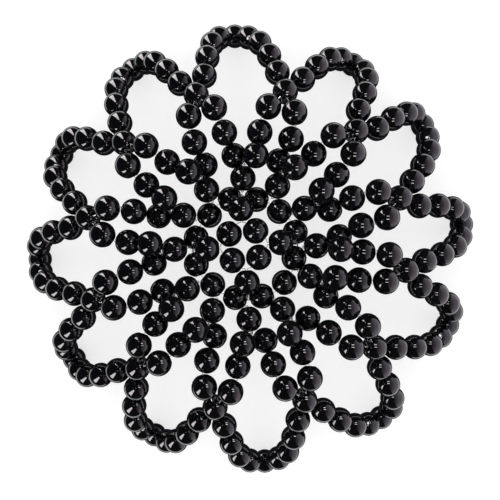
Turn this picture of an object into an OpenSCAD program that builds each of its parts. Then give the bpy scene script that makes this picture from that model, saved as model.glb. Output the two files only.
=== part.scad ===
// A round net of glossy beads strung on fine thread, in its worn, domed shape.
// It has twelve long petals around an open middle, with a rosette of eight beads at the centre.
// Every petal is one closed string. Neighbouring petals share a bead at the outer crossing,
// and both sides of a petal meet in one bead at its inner crossing.
// The origin is on the net's axis, at the height where the net lies on its support. +Z is up.
// Angles are turns clockwise from +Y, seen from above.

/* [Beads] */
// Diameter of a bead
bead_d = 6; // [5:0.1:7]
// Bore of a bead with one strand of thread
bore_d = 1.3; // [1.2:0.05:1.6]
// Bore of a bead with two strands of thread
wide_bore_d = 1.5; // [1.4:0.05:1.8]
// Clear gap between beads that follow each other on a string
bead_gap = 0.16; // [0.12:0.02:0.4]
// Clear gap beside a bead with two strands
wide_gap = 0.45; // [0.3:0.05:0.6]

/* [Thread] */
// Diameter of the thread
thread_d = 0.3; // [0.2:0.05:0.35]
// Distance between the two strands inside a wide bore
strand_pitch = 0.46; // [0.4:0.02:0.6]

/* [Rows] */
// Reach of the outer crossing beads from the axis
crossing_reach = 37.2; // [36:0.1:39]
// Height of the outer crossing beads
crossing_z = 1.2; // [0:0.1:3]
// Reach of the inner crossing beads
knot_reach = 17.2; // [16:0.1:18]
// Height of the inner crossing beads
knot_z = 1.5; // [0:0.1:3]
// Reach of the touching ring of twelve beads
ring_reach = 12; // [11.9:0.1:12.6]
// Height of the touching ring, which dips into the open middle
ring_z = -1.2; // [-3:0.1:0]

/* [Rosette] */
// Height of the eight beads at the centre
rosette_z = 2.8; // [2:0.1:4]
// Turn of the rosette
rosette_turn = -5.7; // [-10:0.1:10]
// How far the rosette sits off the axis along X
rosette_x = -0.3; // [-1:0.1:1]
// How far the rosette sits off the axis along Y
rosette_y = 0.8; // [-1:0.1:1]

/* [Hidden] */
petals = 12;
bead_r = bead_d / 2;
pitch = bead_d + bead_gap;

// One row per petal, clockwise from the top.
// crossing: turn of the outer crossing bead at the petal's left foot
// knot: turn of the inner crossing bead that closes the petal
// left, right: how far the last strand beads on both sides stand from that bead
// over: 1 where the right strand lies on top there, -1 where the left one does
// lean: how far the tip leans clockwise
// stretch: how much further out the tip reaches than the row below says
CROSSING = 0;
KNOT = 1;
LEFT = 2;
RIGHT = 3;
OVER = 4;
LEAN = 5;
STRETCH = 6;
petal_rows = [
    [14.8, 26.2, -4.7, 5.5, 1, 1.0, -0.2],
    [43.3, 55.5, -2.9, 8.7, -1, -4.1, 0.4],
    [72.4, 87.0, -4.0, 2.5, 1, -2.0, 0.7],
    [97.7, 111.0, -3.6, 8.8, -1, -2.5, 0.5],
    [127.5, 149.5, -11.4, 2.4, 1, -2.1, 1.0],
    [158.7, 178.5, -10.3, 3.1, 1, 0.5, 0.6],
    [191.2, 209.3, -9.6, 2.5, 1, -0.7, -0.7],
    [222.5, 234.7, -3.9, 7.8, -1, 1.0, -1.4],
    [251.1, 270.8, -9.6, 2.2, 1, 1.4, -0.8],
    [281.0, 299.9, -8.9, 2.3, 1, 1.4, -0.8],
    [310.6, 328.1, -4.5, 5.7, -1, 1.5, 0.2],
    [342.4, 357.9, -4.9, 9.0, 1, -2.9, 0.2]
];

// The outer loop of a petal, from the crossing to the tip.
// reach, height, and the share of the petal's half angle that a bead stands from its centre line
REACH = 0;
HEIGHT = 1;
SHARE = 2;
loop_rows = [
    [42.6, -2.8, 0.73],
    [47.0, -5.4, 0.59],
    [52.3, -10.5, 0.40],
    [54.7, -16.0, 0.22],
    [56.1, -20.6, 0]
];

// The strands from the outer crossing in to the last bead before the inner one.
// reach, height, and the angle between the strand and the crossing
ANGLE = 2;
strand_rows = [
    [32.2, 3.8, 5.5],
    [27.3, 2.6, 7.5]
];
// Reach of the last strand bead, and its height on top and underneath
last_reach = 22.1;
last_over_z = 4.6;
last_under_z = 0.5;

loop_half = 4;
loop_beads = 9;
strand_beads = 3;
petal_beads = loop_beads + 2 * strand_beads;
first_crossing = petals * petal_beads;
first_knot = first_crossing + petals;
first_ring = first_knot + petals;
first_outer = first_ring + petals;
first_inner = first_outer + 4;
bead_count = first_inner + 4;

// Place at a turn clockwise from +Y
function place(turn, reach, z) = [reach * sin(turn), reach * cos(turn), z];
function unit(v) = v / norm(v);
function wrap(k, n) = (k % n + n) % n;
function after(j) = wrap(j + 1, petals);

// Turn of crossing j, counted on past a full turn
function crossing_turn(j) =
    petal_rows[wrap(j, petals)][CROSSING] + 360 * floor(j / petals);
function half_angle(j) = (crossing_turn(j + 1) - crossing_turn(j)) / 2;

// Places of the loop beads before they settle, k from 0 to 8
function loop_place(j, k) =
    let (
        row = loop_rows[min(k, 2 * loop_half - k)],
        side = k < loop_half ? -1 : 1,
        depth = min(k, 2 * loop_half - k) / loop_half,
        middle = crossing_turn(j) + half_angle(j) + petal_rows[j][LEAN] * depth,
        reach = row[REACH] + petal_rows[j][STRETCH] * depth
    )
    place(middle + side * row[SHARE] * half_angle(j), reach, row[HEIGHT]);

// Places of the strand beads before they settle, k from 0 next to the inner crossing
function strand_place(j, k, side) =
    let (foot = crossing_turn(side < 0 ? j : j + 1), row = petal_rows[j])
    k == 0
        ? place(
            row[KNOT] + (side < 0 ? row[LEFT] : row[RIGHT]),
            last_reach,
            row[OVER] * side > 0 ? last_over_z : last_under_z
        )
        : place(
            foot - side * strand_rows[2 - k][ANGLE],
            strand_rows[2 - k][REACH],
            strand_rows[2 - k][HEIGHT]
        );

start_places = [
    for (j = [0 : petals - 1])
        for (k = [0 : petal_beads - 1])
            k < strand_beads
                ? strand_place(j, k, -1)
                : k < strand_beads + loop_beads
                    ? loop_place(j, k - strand_beads)
                    : strand_place(j, petal_beads - 1 - k, 1),
    for (j = [0 : petals - 1]) place(petal_rows[j][CROSSING], crossing_reach, crossing_z),
    for (j = [0 : petals - 1]) place(petal_rows[j][KNOT], knot_reach, knot_z),
    for (j = [0 : petals - 1]) place(petal_rows[j][CROSSING] + 0.5 * (j - 6) / 6, ring_reach, ring_z),
    for (m = [0 : 3])
        [rosette_x, rosette_y, 0] + place(rosette_turn + 90 * m, pitch / 2 + pitch * sin(60), rosette_z),
    for (m = [0 : 3])
        [rosette_x, rosette_y, 0] + place(rosette_turn - 45 + 90 * m, pitch / sqrt(2), rosette_z)
];

// The beads of one petal in the order of its thread, from the inner crossing round and back
function petal_string(j) = [
    first_knot + j,
    for (k = [0 : strand_beads - 1]) petal_beads * j + k,
    first_crossing + j,
    for (k = [strand_beads : strand_beads + loop_beads - 1]) petal_beads * j + k,
    first_crossing + after(j),
    for (k = [strand_beads + loop_beads : petal_beads - 1]) petal_beads * j + k,
    first_knot + j
];

// Pairs of beads that the thread holds against each other, with their distance
wide_pitch = bead_d + wide_gap;
tip = strand_beads + loop_half;
function string_links(j) =
    let (s = petal_string(j))
    [
        for (k = [0 : len(s) - 2])
            [s[k], s[k + 1], max(s[k], s[k + 1]) >= first_crossing ? wide_pitch : pitch]
    ];
links = [
    for (j = [0 : petals - 1]) each string_links(j),
    for (j = [0 : petals - 1]) [first_ring + j, first_ring + after(j), pitch],
    for (j = [0 : petals - 1]) [first_knot + j, first_ring + j, wide_pitch],
    for (j = [0 : petals - 1]) [first_knot + j, first_ring + after(j), wide_pitch],
    for (m = [0 : 3]) [first_inner + m, first_inner + wrap(m + 1, 4), pitch],
    for (m = [0 : 3]) [first_outer + m, first_inner + m, wide_pitch],
    for (m = [0 : 3]) [first_outer + m, first_inner + wrap(m + 1, 4), wide_pitch],
    for (m = [0 : 3]) [first_outer + m, first_ring + 3 * m, wide_pitch],
    for (m = [0 : 3]) [first_outer + m, first_ring + wrap(3 * m - 1, petals), wide_pitch]
];

// Settling: linked beads come to their distance, and no two beads come nearer than one pitch
near_range = 2.1 * pitch;
settle_rounds = 80;
settle_share = 0.3;
hold_share = 0.015;
near = [
    for (a = [0 : bead_count - 1])
        [
            for (b = [0 : bead_count - 1])
                if (a != b && norm(start_places[a] - start_places[b]) < near_range) b
        ]
];
linked = [
    for (a = [0 : bead_count - 1])
        [for (p = links) if (p[0] == a || p[1] == a) [p[0] == a ? p[1] : p[0], p[2]]]
];
function total(list, i = 0, sum = [0, 0, 0]) =
    i == len(list) ? sum : total(list, i + 1, sum + list[i]);
function push(a, b) =
    let (away = a - b, miss = pitch - norm(away))
    miss > 0 ? unit(away) * miss : [0, 0, 0];
function spring(a, b, distance) =
    let (away = a - b, miss = distance - norm(away))
    norm(away) < pitch ? [0, 0, 0] : unit(away) * miss;
function settle(places, rounds) =
    rounds == 0
        ? places
        : settle(
            [
                for (a = [0 : bead_count - 1])
                    places[a]
                        + settle_share * total([for (b = near[a]) push(places[a], places[b])])
                        + settle_share * total([for (l = linked[a]) spring(places[a], places[l[0]], l[1])])
                        + hold_share * (start_places[a] - places[a])
            ],
            rounds - 1
        );
places = settle(start_places, settle_rounds);

// Directions of the wide bores
function mean(a, b) = (a + b) / 2;
function petal_place(j, k) = places[petal_beads * wrap(j, petals) + k];
function crossing_axis(j) =
    unit(
        mean(petal_place(j, strand_beads), petal_place(j - 1, strand_beads + loop_beads - 1))
            - mean(petal_place(j, strand_beads - 1), petal_place(j - 1, strand_beads + loop_beads))
    );
function ring_gap(j) = mean(places[first_ring + j], places[first_ring + after(j)]);
function knot_axis(j) =
    let (
        p = places[first_knot + j],
        left = unit(petal_place(j, 0) - p),
        right = unit(petal_place(j, petal_beads - 1) - p)
    )
    unit(left + right + 0.5 * unit(p - ring_gap(j)));
function tip_axis(j) = unit(petal_place(j, tip + 1) - petal_place(j, tip - 1));

// Sideways across a bore, clockwise round the net
function across(p, axis) =
    let (round = unit([p.y, -p.x, 0]))
    strand_pitch / 2 * unit(round - (round * axis) * axis);

// A pass of the thread through a bead: place, direction of travel, shift across the bore,
// and whether the thread is free to find its own line through the bead
PLACE = 0;
ALONG = 1;
SHIFT = 2;
FREE = 3;
// Distance from a bead's surface to the middle of the thread outside it
rise = 0.34;
function entry(pass) = pass[PLACE] - (bead_r + rise) * pass[ALONG] + pass[SHIFT];
function exit(pass) = pass[PLACE] + (bead_r + rise) * pass[ALONG] + pass[SHIFT];
function free_pass(p) = [p, [0, 0, 0], [0, 0, 0], true];
function wide_pass(p, axis, side, outward) = [p, outward ? axis : -axis, side * across(p, axis), false];

// The thread of a petal: out through its inner crossing, round the loop, and back
function petal_passes(j) =
    let (
        knot = places[first_knot + j],
        left = places[first_crossing + j],
        right = places[first_crossing + after(j)]
    )
    [
        wide_pass(knot, knot_axis(j), -1, true),
        for (k = [0 : strand_beads - 1]) free_pass(petal_place(j, k)),
        wide_pass(left, crossing_axis(j), 1, true),
        for (k = [strand_beads : tip - 1]) free_pass(petal_place(j, k)),
        [petal_place(j, tip), tip_axis(j), [0, 0, 0], false],
        for (k = [tip + 1 : strand_beads + loop_beads - 1]) free_pass(petal_place(j, k)),
        wide_pass(right, crossing_axis(after(j)), -1, false),
        for (k = [strand_beads + loop_beads : petal_beads - 1]) free_pass(petal_place(j, k)),
        wide_pass(knot, knot_axis(j), 1, false)
    ];

// The thread has one stop in the gap after each bead, clear of both beads there.
// Where a strand meets a crossing, it wraps round the crossing bead to its mouth.
petal_gaps = petal_beads + 3;
function wraps(i) =
    let (k = min(i, petal_gaps - 1 - i))
    k == 0 || k == strand_beads;
function flat_to(v, u) = v - (v * u) * u;
function mouth(a, b) = a[FREE] ? entry(b) : exit(a);

// A plain stop strays only this far from the line between the beads' middles
stray = 0.8;
function held_in(p, a, b) =
    let (
        middle = mean(a[PLACE], b[PLACE]),
        out = flat_to(p - middle, unit(b[PLACE] - a[PLACE]))
    )
    middle + out * min(1, stray / max(norm(out), stray));

// A stop where the thread wraps is at least this far out on the mouth's side, and at most the limit
wrap_reach = 1;
wrap_limit = 1.7;
function held_off(p, a, b) =
    let (
        middle = mean(a[PLACE], b[PLACE]),
        along = unit(b[PLACE] - a[PLACE]),
        near_side = unit(flat_to(mouth(a, b) - middle, along)),
        reached = flat_to(p - middle, along),
        out = reached + max(0, wrap_reach - reached * near_side) * near_side
    )
    middle + unit(out) * min(max(norm(out), wrap_reach), wrap_limit);
function first_stop(a, b, wrapped) =
    a[FREE] && b[FREE]
        ? mean(a[PLACE], b[PLACE])
        : wrapped ? held_off(mouth(a, b), a, b) : mouth(a, b);

// The stops move in their gaps until the thread meets the middles of the beads
stop_rounds = 30;
stop_share = 0.45;
function off_line(p, q, centre) = flat_to(centre - p, unit(q - p));
function pull(pass, p, q) = pass[FREE] ? off_line(p, q, pass[PLACE]) : [0, 0, 0];
function eased(passes, stops, rounds) =
    rounds == 0
        ? stops
        : eased(
            passes,
            [
                for (i = [0 : len(stops) - 1])
                    let (
                        n = len(stops),
                        a = passes[i],
                        b = passes[wrap(i + 1, len(passes))],
                        pulls =
                            pull(a, stops[wrap(i - 1, n)], stops[i])
                                + pull(b, stops[i], stops[wrap(i + 1, n)])
                    )
                    a[FREE] && b[FREE]
                        ? held_in(stops[i] + stop_share * pulls, a, b)
                        : n == petal_gaps && wraps(i)
                            ? held_off(stops[i] + stop_share * pulls, a, b)
                            : stops[i]
            ],
            rounds - 1
        );
petal_stops = [
    for (j = [0 : petals - 1])
        let (p = petal_passes(j))
        eased(p, [for (i = [0 : petal_gaps - 1]) first_stop(p[i], p[i + 1], wraps(i))], stop_rounds)
];
ring_passes = [for (j = [0 : petals - 1]) free_pass(places[first_ring + j])];
ring_stops = eased(
    ring_passes,
    [for (j = [0 : petals - 1]) first_stop(ring_passes[j], ring_passes[after(j)], false)],
    stop_rounds
);

// The bore of a single bead follows the thread, through the bead's middle or close beside it.
// The thread may run this far off the middle of a bore.
bore_slack = 0.4;
function bore_axis(p, q) = unit(q - p);
function bore_shift(p, q, centre) =
    let (off = off_line(p, q, centre))
    norm(off) > bore_slack ? off * (bore_slack / norm(off) - 1) : [0, 0, 0];
function stops_beside(j, k) =
    let (i = k < strand_beads ? k : k < strand_beads + loop_beads ? k + 1 : k + 2)
    [petal_stops[j][i], petal_stops[j][i + 1]];

// The thread's steps round a crossing bead, from its mouth to the stop in the gap
wrap_step = 0.9;
wrap_rounds = 5;
function clear_of(p, centre) = centre + unit(p - centre) * max(norm(p - centre), bead_r + rise);
function clear_of_both(p, a, b, rounds) =
    rounds == 0 ? p : clear_of_both(clear_of(clear_of(p, a), b), a, b, rounds - 1);
function wrap_stops(mouth, stop, a, b) =
    let (steps = ceil(norm(mouth - stop) / wrap_step))
    [
        mouth,
        for (i = [1 : 1 : steps - 1])
            clear_of_both(mouth + (stop - mouth) * i / steps, a, b, wrap_rounds)
    ];
function backwards(list) = [for (i = [len(list) - 1 : -1 : 0]) list[i]];
function stops_in_gap(a, b, stop, wrapped) =
    let (way = wrapped ? wrap_stops(mouth(a, b), stop, a[PLACE], b[PLACE]) : [])
    a[FREE] ? [stop, each backwards(way)] : [each way, stop];

// The turn back at the inner crossing: a half round from the one strand's end to the other's start
turn_back = -0.3;
turn_step = 45;
function turn_stops(a, b) =
    let (
        middle = mean(exit(a), entry(b)),
        side = exit(a) - middle
    )
    [
        for (t = [0 : turn_step : 180])
            middle + side * cos(t) + (norm(side) * sin(t) + turn_back) * a[ALONG]
    ];
function petal_route(j) =
    let (p = petal_passes(j), s = petal_stops[j])
    [
        for (i = [0 : petal_gaps - 1]) each stops_in_gap(p[i], p[i + 1], s[i], wraps(i)),
        each turn_stops(p[petal_gaps], p[0])
    ];

// The rosette's thread runs round its four inner beads and, between them, out through
// an outer bead, down between two beads of the ring, and back.
// lip: how far it runs on past an inner bead's mouth
// dip_reach: how far outside the outer bead it turns down
// dip_drop: how far it stops short of the ring's middle line
// dip_lean: how far it leans outward there
lip = 0.12;
dip_reach = 0.45;
dip_drop = 1.9;
dip_lean = 0.35;
function inner_place(m) = places[first_inner + wrap(m, 4)];
function outer_place(m) = places[first_outer + m];
function inner_axis(m) = unit(inner_place(m + 1) - inner_place(m + 3));
function outer_axis(m) = unit(outer_place(m) - mean(inner_place(m), inner_place(m + 1)));
function dip(m) =
    let (
        p = outer_place(m),
        out = outer_axis(m),
        side = across(p, out),
        gap = mean(places[first_ring + 3 * m], places[first_ring + wrap(3 * m - 1, petals)]),
        bottom = gap + dip_drop * unit([0, 0, 1] + dip_lean * out),
        inside = p - (bead_r + lip) * out,
        beside = p + bead_r * out,
        over = p + (bead_r + dip_reach) * out
    )
    [
        inner_place(m) - (bead_r + lip) * inner_axis(m),
        inner_place(m) + (bead_r + lip) * inner_axis(m),
        inside - side,
        beside - side,
        over - side,
        bottom - side,
        bottom - [0, 0, strand_pitch / 2],
        bottom + side,
        over + side,
        beside + side,
        inside + side
    ];
rosette_route = [for (m = [0 : 3]) each dip(m)];

// A closed tube along a route. Its rings of points stand square to the route, and their
// first points face away from a hoop inside the net, so that the tube isn't twisted.
thread_sides = 6;
core_reach = 31;
core_z = -19;
function outward(p) =
    let (reach = norm([p.x, p.y]))
    unit(p - [p.x * core_reach / reach, p.y * core_reach / reach, core_z]);
function route_ring(route, i, flat) =
    let (
        n = len(route),
        along = unit(unit(route[wrap(i + 1, n)] - route[i]) + unit(route[i] - route[wrap(i - 1, n)])),
        up = flat ? [0, 0, 1] : outward(route[i]),
        u = unit(cross(along, up)),
        v = cross(u, along)
    )
    [
        for (s = [0 : thread_sides - 1])
            route[i] + thread_d / 2 * (u * cos(360 * s / thread_sides) + v * sin(360 * s / thread_sides))
    ];
module closed_tube(route, flat) {
    n = len(route);
    m = thread_sides;
    polyhedron(
        points = [for (i = [0 : n - 1]) each route_ring(route, i, flat)],
        faces = [
            for (i = [0 : n - 1])
                for (s = [0 : m - 1])
                    let (
                        here = i * m,
                        next = wrap(i + 1, n) * m,
                        a = here + s,
                        b = here + (s + 1) % m,
                        c = next + s,
                        d = next + (s + 1) % m
                    )
                        each [[a, d, b], [a, c, d]]
        ]
    );
}

// The bore runs along the bead's Z, set over towards its -X where it doesn't go through the middle
module bead(p, axis, shift, bore) {
    lean = acos(axis.z);
    heading = atan2(axis.y, axis.x);
    beside = shift * [-sin(heading), cos(heading), 0];
    ahead = shift * [cos(lean) * cos(heading), cos(lean) * sin(heading), -sin(lean)];
    translate(p)
        rotate([0, lean, heading])
            rotate([0, 0, atan2(beside, ahead) + 180])
                difference() {
                    rotate([-90, 0, 0])
                        sphere(d = bead_d, $fn = 24);
                    translate([-norm(shift), 0, 0])
                        cylinder(d = bore, h = 2 * bead_d, center = true, $fn = 24);
                }
}

module single_bead(p, stops) {
    bead(p, bore_axis(stops[0], stops[1]), bore_shift(stops[0], stops[1], p), bore_d);
}

module double_bead(p, axis) {
    bead(p, axis, [0, 0, 0], wide_bore_d);
}

module petal(j) {
    color("#101012")
        for (k = [0 : petal_beads - 1])
            single_bead(petal_place(j, k), stops_beside(j, k));
}

module outer_crossings() {
    color("#18181c")
        for (j = [0 : petals - 1])
            double_bead(places[first_crossing + j], crossing_axis(j));
}

module inner_crossings() {
    color("#18181c")
        for (j = [0 : petals - 1])
            double_bead(places[first_knot + j], knot_axis(j));
}

module inner_ring() {
    color("#141416")
        for (j = [0 : petals - 1])
            single_bead(places[first_ring + j], [ring_stops[wrap(j - 1, petals)], ring_stops[j]]);
}

module centre_rosette() {
    color("#0c0c0e")
        for (m = [0 : 3]) {
            double_bead(outer_place(m), outer_axis(m));
            bead(inner_place(m), inner_axis(m), [0, 0, 0], bore_d);
        }
}

module thread() {
    color("#8c8c90") {
        for (j = [0 : petals - 1])
            closed_tube(petal_route(j), false);
        closed_tube(ring_stops, true);
        closed_tube(rosette_route, true);
    }
}

petal(0);  // petal_01
petal(1);  // petal_02
petal(2);  // petal_03
petal(3);  // petal_04
petal(4);  // petal_05
petal(5);  // petal_06
petal(6);  // petal_07
petal(7);  // petal_08
petal(8);  // petal_09
petal(9);  // petal_10
petal(10);  // petal_11
petal(11);  // petal_12
outer_crossings();
inner_crossings();
inner_ring();
centre_rosette();
thread();
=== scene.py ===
"""A domed net of polished black beads strung on fine clear thread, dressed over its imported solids."""

import math
import random

import bmesh
import bpy
import numpy as np
from mathutils import Matrix, Quaternion, Vector


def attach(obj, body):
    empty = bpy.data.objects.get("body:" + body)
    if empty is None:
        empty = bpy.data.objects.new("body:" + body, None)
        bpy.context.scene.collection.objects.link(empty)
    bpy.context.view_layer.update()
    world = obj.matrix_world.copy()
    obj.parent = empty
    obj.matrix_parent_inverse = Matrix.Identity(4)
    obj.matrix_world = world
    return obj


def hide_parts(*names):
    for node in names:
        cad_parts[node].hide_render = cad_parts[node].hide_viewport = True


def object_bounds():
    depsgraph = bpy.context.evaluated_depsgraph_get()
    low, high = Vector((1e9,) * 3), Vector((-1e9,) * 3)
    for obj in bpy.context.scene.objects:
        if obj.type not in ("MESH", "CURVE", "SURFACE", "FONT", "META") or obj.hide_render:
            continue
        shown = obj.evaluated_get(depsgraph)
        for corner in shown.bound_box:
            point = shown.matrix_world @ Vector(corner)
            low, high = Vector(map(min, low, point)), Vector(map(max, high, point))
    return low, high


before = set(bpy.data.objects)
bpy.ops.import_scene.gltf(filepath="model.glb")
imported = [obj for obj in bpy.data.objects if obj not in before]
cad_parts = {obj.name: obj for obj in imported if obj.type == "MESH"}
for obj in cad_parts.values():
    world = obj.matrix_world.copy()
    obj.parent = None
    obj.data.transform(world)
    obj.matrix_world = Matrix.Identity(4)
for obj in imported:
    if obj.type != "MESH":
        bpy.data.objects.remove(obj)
cad_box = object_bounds()

MM = 0.001
PETALS = 12
PETAL_NODES = ["petal_%02d" % number for number in range(1, PETALS + 1)]
BEAD_NODES = PETAL_NODES + ["outer_crossings", "inner_crossings", "inner_ring", "centre_rosette"]

# A bead's radius, and the slightly larger one that makes up for the flat faces of its skin.
BEAD_RADIUS = 3.0 * MM
SKIN_RADIUS = 1.005 * BEAD_RADIUS
# Its sides round the bore, its bands from mouth to mouth, and how often they are smoothed.
BEAD_SIDES = 12
BEAD_BANDS = 5
SMOOTH_LEVELS = 2
# The widening from the bore to its mouth, and how far below the mouth the plain bore starts.
MOUTH_LIP = 0.12 * MM
WALL_DEPTH = 0.3 * MM
# A corner nearer to the middle than this share of the radius belongs to the bore.
WALL_SHARE = 0.93
# Corners that lie closer than this are merged.
MERGE_REACH = 0.001 * MM
# On a packed bead only the edges along the bore are longer than this.
BORE_EDGE = 4.0 * MM
# The seed for each bead's turn and tone.
BEAD_SEED = 12

# The jet: its two tones, its haze, its waviness, its coat and the roughness of a drilled wall.
JET_TONES = ((0.0006, 0.0006, 0.0008, 1), (0.002, 0.0018, 0.0024, 1))
JET_IOR = 1.56
HAZE_SCALE = 700.0
HAZE_DETAIL = 3.0
HAZE_ROUGHNESS = (0.015, 0.05)
WAVE_SCALE = 330.0
WAVE_DETAIL = 1.0
WAVE_HEIGHT = 0.03 * MM
WAVE_STRENGTH = 0.12
COAT_WEIGHT = 0.25
COAT_ROUGHNESS = 0.02
DRILLED_ROUGHNESS = 0.6

# The clear line: its two tones and its uneven shine.
LINE_TONES = ((0.55, 0.55, 0.57, 1), (0.8, 0.8, 0.82, 1))
LINE_IOR = 1.53
LINE_CLEARNESS = 0.95
LINE_DETAIL = 2.0
LINE_TONE_SCALE = 500.0
LINE_SHINE_SCALE = 2500.0
LINE_ROUGHNESS = (0.08, 0.25)

# The floor: its mottle, and the glow that keeps the shadows on it pale.
FLOOR_TONES = ((0.48, 0.48, 0.48, 1), (0.52, 0.52, 0.52, 1))
FLOOR_ROUGHNESS = 0.9
FLOOR_GLOW = 0.62
MOTTLE_SCALE = 6.0
MOTTLE_DETAIL = 2.0

# The floor and the curve up to its backdrop, in metres.
FLOOR_SIDES = 64
COVE_START = 0.9
COVE_RADIUS = 0.6
COVE_STEPS = 12
COVE_HEIGHT = 1.9

# The camera stands about 16 cm up and looks almost straight down on the net.
CAMERA_PLACE = Vector((4.0, 1.0, 161.0)) * MM
CAMERA_AIM = Vector((1.13, -0.226, 3.0)) * MM
CAMERA_UP = Vector((0.0, 1.0, 0.0))
CLIP_START = 0.01
CLIP_END = 10.0
SENSOR_WIDTH = 36.0
FOCAL_PIXELS = 685.0
PICTURE_PIXELS = 500.0

# The colours of the lights.
ROSY = (1.0, 0.93, 0.95)
WHITE = (1.0, 1.0, 1.0)
LILAC = (0.95, 0.85, 1.0)
BLUE = (0.6, 0.75, 1.0)

# The panels that the beads mirror. A row is a middle and a width in millimetres, and a share of the glow.
TALL_WINDOW = [((-194, 278, -38), 125, 0.75), ((-28, 49, 50), 7, 1.0)]
LOW_WINDOW = [((-141, -144, 36), 68, 0.8), ((-38, -43, 55), 12, 1.0)]
WINDOW_RADIANCE = 10.0
SIDE_WALL = [
    ((258, -5, -75), 880, 0.9),
    ((250, -5, -20), 860, 1.0),
    ((158, -2, 68), 540, 0.85),
    ((112, -1, 111), 380, 0.4),
    ((77, 0, 144), 260, 0.25),
    ((45, 0, 165), 180, 0.0),
]
SIDE_RADIANCE = 1.3
FAR_WALL = [((-250, 0, -20), 600, 1.0), ((-110, 0, 144), 260, 0.5)]
FAR_RADIANCE = 0.07

# The boxes that the beads mirror: a middle and a size in millimetres.
TALL_CAP = ((-13, 37, 65), (6, 6, 4))
TALL_CAP_RADIANCE = 10.0
LOW_CAP = ((-20, -23, 67), (5, 5, 4))
LOW_CAP_RADIANCE = 5.0
STRIP_UPPER = ((32, 18, 73), (28, 3, 10))
STRIP_LOWER = ((31, -13, 69), (28, 3, 10))
STRIP_RADIANCE = 14.0

# The lit ground that the beads mirror: its reaches and its height in millimetres.
GROUND_REACHES = (88, 160)
GROUND_HEIGHT = -39
GROUND_RADIANCE = 1.6

# The light above the floor, in metres, and the dim surroundings.
TOP_SIZE = 1.6
TOP_HEIGHT = 1.45
TOP_RADIANCE = 1.5
ROOM_COLOUR = (0.8, 0.85, 1.0, 1)
ROOM_STRENGTH = 0.05


# Shared steps


def spin_round(bm, steps):
    """Spins a half section once round Z and closes its seam and its poles."""
    bmesh.ops.spin(
        bm,
        geom=bm.verts[:] + bm.edges[:],
        cent=(0, 0, 0),
        axis=(0, 0, 1),
        angle=2 * math.pi,
        steps=steps,
        use_merge=True,
    )
    bmesh.ops.remove_doubles(bm, verts=bm.verts, dist=MERGE_REACH)


def finished_mesh(bm, name):
    """Turns a bmesh into a mesh and lets go of it."""
    mesh = bpy.data.meshes.new(name)
    bm.to_mesh(mesh)
    bm.free()
    return mesh


def placed(name, data):
    """A new object in the scene, at the origin."""
    thing = bpy.data.objects.new(name, data)
    bpy.context.scene.collection.objects.link(thing)
    return thing


# Beads


def swell(step):
    """How much smaller smoothing makes a ring whose corners are a step apart."""
    factor = 1.0
    for level in range(SMOOTH_LEVELS):
        # Three quarters of a corner and an eighth of each neighbour make the new corner.
        factor *= (3.0 + math.cos(step / 2**level)) / 4.0
    return factor


def drilled_bead(bore_radius, shift):
    """A bead about the origin with its bore along Z: a half section spun into one closed skin."""
    bm = bmesh.new()
    mouth_angle = math.asin((bore_radius + MOUTH_LIP) / BEAD_RADIUS)
    band = (math.pi - 2 * mouth_angle) / BEAD_BANDS
    round_swell = swell(2 * math.pi / BEAD_SIDES)
    skin_swell = swell(band)
    section = []
    for ring in range(BEAD_BANDS + 1):
        angle = mouth_angle + ring * band
        reach = SKIN_RADIUS * math.sin(angle) / skin_swell / round_swell
        height = SKIN_RADIUS * math.cos(angle) / skin_swell
        section.append(bm.verts.new((reach, 0.0, height)))
    wall_height = BEAD_RADIUS * math.cos(mouth_angle) - WALL_DEPTH
    for height in (-wall_height, wall_height):
        section.append(bm.verts.new((bore_radius / round_swell, 0.0, height)))
    for corner in range(len(section)):
        bm.edges.new((section[corner - 1], section[corner]))
    spin_round(bm, BEAD_SIDES)
    slide_bore(bm, shift, band)
    bmesh.ops.recalc_face_normals(bm, faces=bm.faces)
    for face in bm.faces:
        face.smooth = True
    return bm


def is_wall(vert):
    """True for the corners of a bead's bore, which lie well inside its skin."""
    return vert.co.length < WALL_SHARE * BEAD_RADIUS


def slide_bore(bm, shift, band):
    """Sets the bore over sideways: its mouths tip over, and the skin between them follows evenly."""
    if shift.length < MERGE_REACH:
        return
    tip = math.asin(shift.length / BEAD_RADIUS)
    side = shift.normalized()
    hinge = Vector((0.0, 0.0, 1.0)).cross(side)
    for vert in bm.verts:
        if is_wall(vert):
            vert.co += shift
            depth = math.sqrt(BEAD_RADIUS**2 - vert.co.x**2 - vert.co.y**2) - WALL_DEPTH
            vert.co.z = math.copysign(depth, vert.co.z)
        else:
            angle = math.acos(vert.co.z / vert.co.length)
            share = (math.pi / 2 - angle) / (BEAD_BANDS * band / 2)
            towards = Vector((vert.co.x, vert.co.y, 0.0)).normalized().dot(side)
            stretched = band - 2 * tip * towards / BEAD_BANDS
            vert.co.rotate(Quaternion(hinge, tip * share))
            vert.co *= swell(band) / swell(stretched)


def bead_groups(bm):
    """The corners of each loose bead of a node, in the order of the mesh."""
    seen = set()
    for start in bm.verts:
        if start in seen:
            continue
        seen.add(start)
        group = [start]
        for vert in group:
            for edge in vert.link_edges:
                other = edge.other_vert(vert)
                if other not in seen:
                    seen.add(other)
                    group.append(other)
        yield group


def round_centre(points):
    """The middle of the circle or ball on whose skin all the points lie."""
    base = points.mean(axis=0)
    away = points - base
    terms = np.column_stack((2 * away, np.ones(len(away))))
    found = np.linalg.lstsq(terms, (away**2).sum(axis=1), rcond=None)[0]
    return base + found[:-1]


def wall_faces(group):
    """The long faces that line a bead's bore."""
    faces = {}
    for vert in group:
        for edge in vert.link_edges:
            if edge.calc_length() > BORE_EDGE:
                for face in edge.link_faces:
                    faces[face] = True
    return list(faces)


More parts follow.
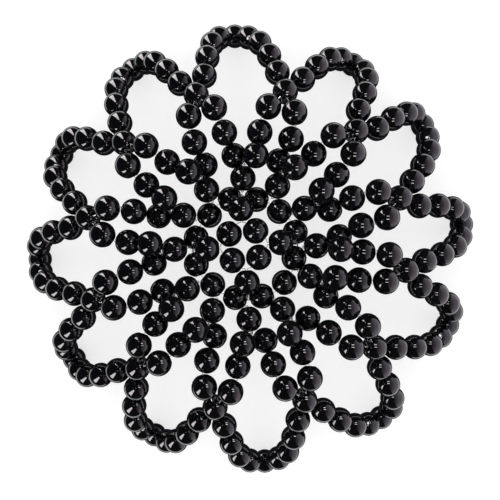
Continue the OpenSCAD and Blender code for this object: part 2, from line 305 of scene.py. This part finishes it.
def bead_seats(node):
    """Where each bead of a node sits: its middle, the run of its bore, its set-over and its bore radius."""
    bm = bmesh.new()
    bm.from_mesh(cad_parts[node].data)
    bmesh.ops.remove_doubles(bm, verts=bm.verts, dist=MERGE_REACH)
    bm.normal_update()
    seats = []
    for group in bead_groups(bm):
        centre = Vector(round_centre(np.array([vert.co[:] for vert in group])))
        walls = wall_faces(group)
        # The bore runs square to the normals of all its walls.
        normals = np.array([face.normal[:] for face in walls])
        run = Vector(np.linalg.svd(normals)[2][-1])
        across = run.orthogonal().normalized()
        beside = run.cross(across)
        spots = [vert.co - centre for face in walls for vert in face.verts]
        flat = np.array([[spot.dot(across), spot.dot(beside)] for spot in spots])
        hub = round_centre(flat)
        shift = across * hub[0] + beside * hub[1]
        bore_radius = float(np.linalg.norm(flat - hub, axis=1).mean())
        seats.append((centre, run, shift, bore_radius))
    bm.free()
    return seats


def seat_matrix(centre, run, turn):
    """Turns a bead's Z to the run of its bore and carries it to its place."""
    lie = run.to_track_quat("Z", "Y").to_matrix().to_4x4()
    return Matrix.Translation(centre) @ lie @ Matrix.Rotation(turn, 4, "Z")


def set_bead_marks(bm, tone):
    """Marks a bead with its own tone and marks the drilled surfaces."""
    tones = bm.verts.layers.float.new("bead_tone")
    drilled = bm.verts.layers.float.new("drilled")
    for vert in bm.verts:
        vert[tones] = tone
        vert[drilled] = 1.0 if is_wall(vert) else 0.0


def string_beads(node, dice):
    """All the beads of one node as one smooth mesh piece."""
    whole = bmesh.new()
    for centre, run, shift, bore_radius in bead_seats(node):
        place = seat_matrix(centre, run, dice.uniform(0.0, 2 * math.pi))
        bead = drilled_bead(bore_radius, place.to_3x3().inverted() @ shift)
        set_bead_marks(bead, dice.random())
        bmesh.ops.transform(bead, matrix=place, verts=bead.verts)
        loose = finished_mesh(bead, "loose_bead")
        whole.from_mesh(loose)
        bpy.data.meshes.remove(loose)
    piece = placed("beads_" + node, finished_mesh(whole, "beads_" + node))
    smooth = piece.modifiers.new("round_off", "SUBSURF")
    smooth.levels = SMOOTH_LEVELS
    smooth.render_levels = SMOOTH_LEVELS
    return piece


# Finishes


def new_finish(name):
    """A new material with the node tree and the shader to build on."""
    material = bpy.data.materials.new(name)
    material.use_nodes = True
    tree = material.node_tree
    shader = tree.nodes["Principled BSDF"]
    return material, tree, shader


def object_noise(tree, scale, detail):
    """Noise that lies in the piece's own space."""
    coordinates = tree.nodes.new("ShaderNodeTexCoord")
    noise = tree.nodes.new("ShaderNodeTexNoise")
    noise.inputs["Scale"].default_value = scale
    noise.inputs["Detail"].default_value = detail
    tree.links.new(coordinates.outputs["Object"], noise.inputs["Vector"])
    return noise.outputs["Fac"]


def marked(tree, name):
    """The value of one of the marks on a mesh."""
    mark = tree.nodes.new("ShaderNodeAttribute")
    mark.attribute_name = name
    return mark.outputs["Fac"]


def ranged(tree, value, low, high):
    """A value from 0 to 1 spread over another range."""
    spread = tree.nodes.new("ShaderNodeMapRange")
    spread.inputs["To Min"].default_value = low
    spread.inputs["To Max"].default_value = high
    tree.links.new(value, spread.inputs["Value"])
    return spread.outputs["Result"]


def blended(tree, share, first, second):
    """Two colours mixed by a share."""
    mix = tree.nodes.new("ShaderNodeMix")
    mix.data_type = "RGBA"
    mix.inputs["A"].default_value = first
    mix.inputs["B"].default_value = second
    tree.links.new(share, mix.inputs["Factor"])
    return mix.outputs["Result"]


def larger(tree, first, second):
    """The larger of two values."""
    choose = tree.nodes.new("ShaderNodeMath")
    choose.operation = "MAXIMUM"
    tree.links.new(first, choose.inputs[0])
    tree.links.new(second, choose.inputs[1])
    return choose.outputs["Value"]


def add_bump(tree, shader, height, distance, strength):
    """Raises the surface very slightly where the height is large."""
    bump = tree.nodes.new("ShaderNodeBump")
    bump.inputs["Distance"].default_value = distance
    bump.inputs["Strength"].default_value = strength
    tree.links.new(height, bump.inputs["Height"])
    tree.links.new(bump.outputs["Normal"], shader.inputs["Normal"])


def jet_finish():
    """Polished jet black, with a faint waviness, a little haze and a duller drilled wall."""
    material, tree, shader = new_finish("polished_jet")
    tone = blended(tree, marked(tree, "bead_tone"), *JET_TONES)
    tree.links.new(tone, shader.inputs["Base Color"])
    haze = ranged(tree, object_noise(tree, HAZE_SCALE, HAZE_DETAIL), *HAZE_ROUGHNESS)
    dull = ranged(tree, marked(tree, "drilled"), 0.0, DRILLED_ROUGHNESS)
    tree.links.new(larger(tree, haze, dull), shader.inputs["Roughness"])
    waves = object_noise(tree, WAVE_SCALE, WAVE_DETAIL)
    add_bump(tree, shader, waves, WAVE_HEIGHT, WAVE_STRENGTH)
    shader.inputs["IOR"].default_value = JET_IOR
    shader.inputs["Coat Weight"].default_value = COAT_WEIGHT
    shader.inputs["Coat Roughness"].default_value = COAT_ROUGHNESS
    return material


def clear_line_finish():
    """Clear greyish nylon line with a soft, slightly uneven shine."""
    material, tree, shader = new_finish("clear_line")
    tone = blended(tree, object_noise(tree, LINE_TONE_SCALE, LINE_DETAIL), *LINE_TONES)
    tree.links.new(tone, shader.inputs["Base Color"])
    shine = ranged(tree, object_noise(tree, LINE_SHINE_SCALE, LINE_DETAIL), *LINE_ROUGHNESS)
    tree.links.new(shine, shader.inputs["Roughness"])
    shader.inputs["IOR"].default_value = LINE_IOR
    shader.inputs["Transmission Weight"].default_value = LINE_CLEARNESS
    return material


def pale_floor_finish():
    """Matt white with a hardly visible mottle."""
    material, tree, shader = new_finish("pale_floor")
    tone = blended(tree, object_noise(tree, MOTTLE_SCALE, MOTTLE_DETAIL), *FLOOR_TONES)
    tree.links.new(tone, shader.inputs["Base Color"])
    shader.inputs["Roughness"].default_value = FLOOR_ROUGHNESS
    shader.inputs["Specular IOR Level"].default_value = 0.0
    shader.inputs["Emission Color"].default_value = (*WHITE, 1)
    shader.inputs["Emission Strength"].default_value = FLOOR_GLOW
    return material


def glow_finish(name, radiance, colour):
    """The glow of a lit panel, which follows the marks on its corners."""
    material = bpy.data.materials.new(name)
    material.use_nodes = True
    tree = material.node_tree
    tree.nodes.clear()
    glow = tree.nodes.new("ShaderNodeEmission")
    glow.inputs["Color"].default_value = (*colour, 1)
    tree.links.new(ranged(tree, marked(tree, "glow"), 0.0, radiance), glow.inputs["Strength"])
    output = tree.nodes.new("ShaderNodeOutputMaterial")
    tree.links.new(glow.outputs["Emission"], output.inputs["Surface"])
    return material


# Studio


def stage_mesh(bm, name, finish):
    """A finished mesh that belongs to the studio and not to the net."""
    mesh = finished_mesh(bm, name)
    mesh.materials.append(finish)
    thing = placed(name, mesh)
    return thing


def spun_sheet(section):
    """A round sheet from a half section of reaches and heights."""
    bm = bmesh.new()
    corners = [bm.verts.new((reach, 0.0, height)) for reach, height in section]
    for first, second in zip(corners, corners[1:]):
        bm.edges.new((first, second))
    spin_round(bm, FLOOR_SIDES)
    for face in bm.faces:
        face.smooth = True
    return bm


def make_floor(level):
    """A pale floor that curves up into its own backdrop. The lit ground stands in for it in the beads."""
    section = [(0.0, level), (COVE_START, level)]
    for step in range(1, COVE_STEPS + 1):
        angle = step * math.pi / 2 / COVE_STEPS
        height = level + COVE_RADIUS * (1 - math.cos(angle))
        section.append((COVE_START + COVE_RADIUS * math.sin(angle), height))
    section.append((COVE_START + COVE_RADIUS, level + COVE_HEIGHT))
    floor = stage_mesh(spun_sheet(section), "floor", pale_floor_finish())
    floor.visible_glossy = False


def mirrored_light(bm, name, radiance, colour):
    """A glowing shape that only the polished beads mirror."""
    shape = stage_mesh(bm, name, glow_finish(name, radiance, colour))
    shape.visible_camera = False
    shape.visible_diffuse = False
    shape.visible_shadow = False


def light_evenly(bm):
    """Marks every corner of a shape with the full glow."""
    glows = bm.verts.layers.float.new("glow")
    for corner in bm.verts:
        corner[glows] = 1.0


def glow_panel(name, rows, radiance, colour):
    """A lit panel through rows of a middle, a width and a share of the glow."""
    bm = bmesh.new()
    glows = bm.verts.layers.float.new("glow")
    first_middle = Vector(rows[0][0]) * MM
    last_middle = Vector(rows[-1][0]) * MM
    side = (last_middle - first_middle).cross(first_middle + last_middle).normalized() * MM / 2
    pairs = []
    for middle, width, share in rows:
        place = Vector(middle) * MM
        pair = (bm.verts.new(place - side * width), bm.verts.new(place + side * width))
        for corner in pair:
            corner[glows] = share
        pairs.append(pair)
    for first, second in zip(pairs, pairs[1:]):
        bm.faces.new((first[0], first[1], second[1], second[0]))
    mirrored_light(bm, name, radiance, colour)


def glow_box(name, middle, size, radiance, colour):
    """A lit box about its middle."""
    bm = bmesh.new()
    bmesh.ops.create_cube(bm, size=1.0)
    bmesh.ops.scale(bm, vec=Vector(size) * MM, verts=bm.verts)
    bmesh.ops.translate(bm, vec=Vector(middle) * MM, verts=bm.verts)
    light_evenly(bm)
    mirrored_light(bm, name, radiance, colour)


def glow_ring(name, reaches, height, radiance, colour):
    """A lit flat ring about the middle of the net."""
    bm = spun_sheet([(reach * MM, height * MM) for reach in reaches])
    light_evenly(bm)
    mirrored_light(bm, name, radiance, colour)


def make_top_light():
    """A large soft light above, for the floor alone."""
    light = bpy.data.lights.new("top_light", "AREA")
    light.shape = "SQUARE"
    light.size = TOP_SIZE
    light.energy = TOP_RADIANCE * math.pi * TOP_SIZE**2
    lamp = placed("top_light", light)
    lamp.location = (0.0, 0.0, TOP_HEIGHT)
    lamp.visible_camera = False
    lamp.visible_glossy = False


def make_lights():
    """The windows, lamps and walls that the beads mirror, and the top light."""
    glow_panel("tall_window", TALL_WINDOW, WINDOW_RADIANCE, ROSY)
    glow_box("window_cap", *TALL_CAP, TALL_CAP_RADIANCE, ROSY)
    glow_panel("low_window", LOW_WINDOW, WINDOW_RADIANCE, ROSY)
    glow_box("low_cap", *LOW_CAP, LOW_CAP_RADIANCE, ROSY)
    glow_box("strip_upper", *STRIP_UPPER, STRIP_RADIANCE, WHITE)
    glow_box("strip_lower", *STRIP_LOWER, STRIP_RADIANCE, WHITE)
    glow_panel("side_wall", SIDE_WALL, SIDE_RADIANCE, LILAC)
    glow_panel("far_wall", FAR_WALL, FAR_RADIANCE, BLUE)
    glow_ring("bright_ground", GROUND_REACHES, GROUND_HEIGHT, GROUND_RADIANCE, WHITE)
    make_top_light()


def make_world():
    """Dim surroundings for the mirror-like beads."""
    world = bpy.data.worlds.new("dim_room")
    world.use_nodes = True
    ground = world.node_tree.nodes["Background"]
    ground.inputs["Color"].default_value = ROOM_COLOUR
    ground.inputs["Strength"].default_value = ROOM_STRENGTH
    bpy.context.scene.world = world


def make_camera():
    """The camera above the net, with the picture's top towards +Y."""
    back = (CAMERA_PLACE - CAMERA_AIM).normalized()
    side = CAMERA_UP.cross(back).normalized()
    rise = back.cross(side)
    lens = bpy.data.cameras.new("camera")
    lens.sensor_width = SENSOR_WIDTH
    lens.lens = FOCAL_PIXELS / PICTURE_PIXELS * SENSOR_WIDTH
    lens.clip_start = CLIP_START
    lens.clip_end = CLIP_END
    camera = placed("camera", lens)
    camera.matrix_world = Matrix.Translation(CAMERA_PLACE) @ Matrix((side, rise, back)).transposed().to_4x4()
    bpy.context.scene.camera = camera


# The net


def dress_net():
    """Puts finished beads over the bead nodes and a clear finish on the thread."""
    jet = jet_finish()
    dice = random.Random(BEAD_SEED)
    for node in BEAD_NODES:
        piece = string_beads(node, dice)
        piece.data.materials.append(jet)
        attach(piece, "root")
        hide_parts(node)
    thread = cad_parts["thread"]
    thread.data.materials.clear()
    thread.data.materials.append(clear_line_finish())


make_camera()
dress_net()
make_floor(cad_box[0].z)
make_lights()
make_world()
bpy.context.scene.view_settings.view_transform = "Standard"
